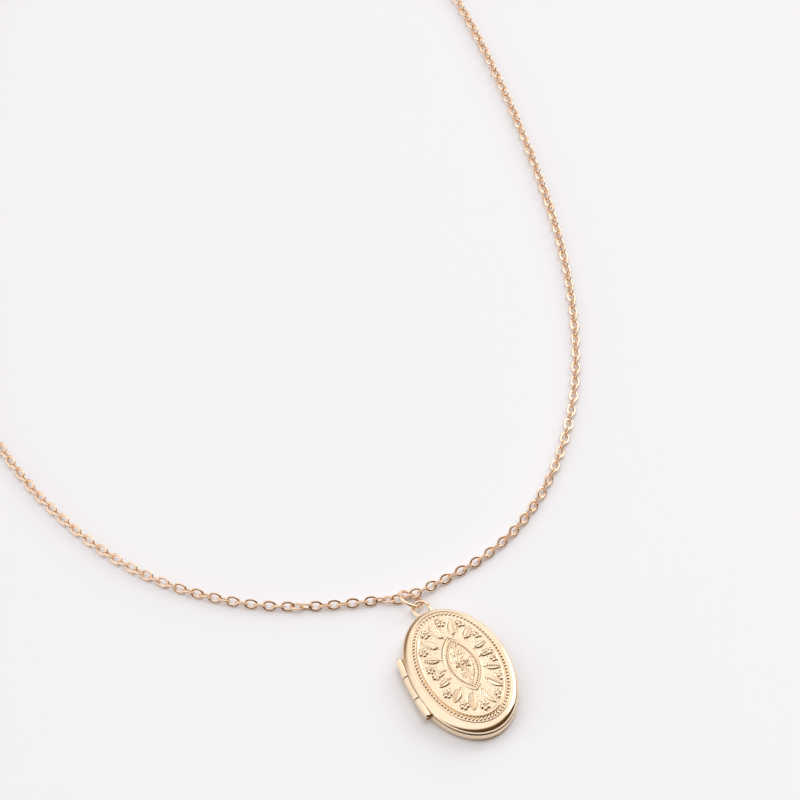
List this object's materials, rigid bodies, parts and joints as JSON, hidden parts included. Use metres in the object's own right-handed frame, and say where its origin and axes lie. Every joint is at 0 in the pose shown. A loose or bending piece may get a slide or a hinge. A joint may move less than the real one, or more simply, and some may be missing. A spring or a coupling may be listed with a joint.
{
  "type": "oval photo locket necklace",
  "caption": "Oval hinged photo locket with an embossed front, hung by a jump ring on a fine cable chain that closes with a lobster clasp.",
  "frame": {"origin": "middle of the flat oval on the back cover, on the surface the locket rests on", "axes": "+Z out of the embossed front, +Y from the locket to its bail, -X to the hinge"},
  "size_m": [0.1299, 0.2158, 0.0045],
  "materials": {
    "locket_gold": "pale yellow gold plating, polished",
    "chain_gold": "warm rose-gold plating, polished",
    "spring_steel": "plain spring steel",
    "photo_card": "plain matt card",
    "photo_window": "clear film"
  },
  "bodies": {
    "back": {"back_cover": "locket_gold", "closing_lip": "locket_gold", "hinge_knuckle_middle": "locket_gold", "hinge_pin": "locket_gold", "bail": "locket_gold", "back_photo_frame": "locket_gold", "back_window": "photo_window", "back_photo_card": "photo_card", "centre_links": "chain_gold", "left_chain": "chain_gold", "right_chain": "chain_gold", "clasp_body": "chain_gold", "clasp_pin": "chain_gold", "clasp_spring": "spring_steel", "clasp_ring": "chain_gold", "end_ring": "chain_gold"},
    "front": {"front_cover": "locket_gold", "hinge_knuckle_upper": "locket_gold", "hinge_knuckle_lower": "locket_gold", "front_photo_frame": "locket_gold", "front_window": "photo_window", "front_photo_card": "photo_card"},
    "ring": {"jump_ring": "chain_gold"},
    "trigger": {"clasp_trigger": "chain_gold"}
  },
  "joints": [
    {"name": "cover_hinge", "type": "hinge", "parent": "back", "child": "front", "pos_m": [-0.00975, 0, 0.0024], "axis": [0, -1, 0], "range_deg": [0, 160]},
    {"name": "jump_ring_spin", "type": "hinge", "parent": "back", "child": "ring", "pos_m": [-0.0016, 0.0197, 0.0018], "axis": [0.541, 0.1803, 0.8215], "continuous": true},
    {"name": "clasp_trigger_pivot", "type": "hinge", "parent": "back", "child": "trigger", "pos_m": [0.02671, 0.1925, 0.0015], "axis": [0, 0, -1], "range_deg": [0, 18], "stiffness_Nm_per_rad": 0.004, "springref_deg": -8.59, "deforming": ["clasp_spring"]}
  ]
}
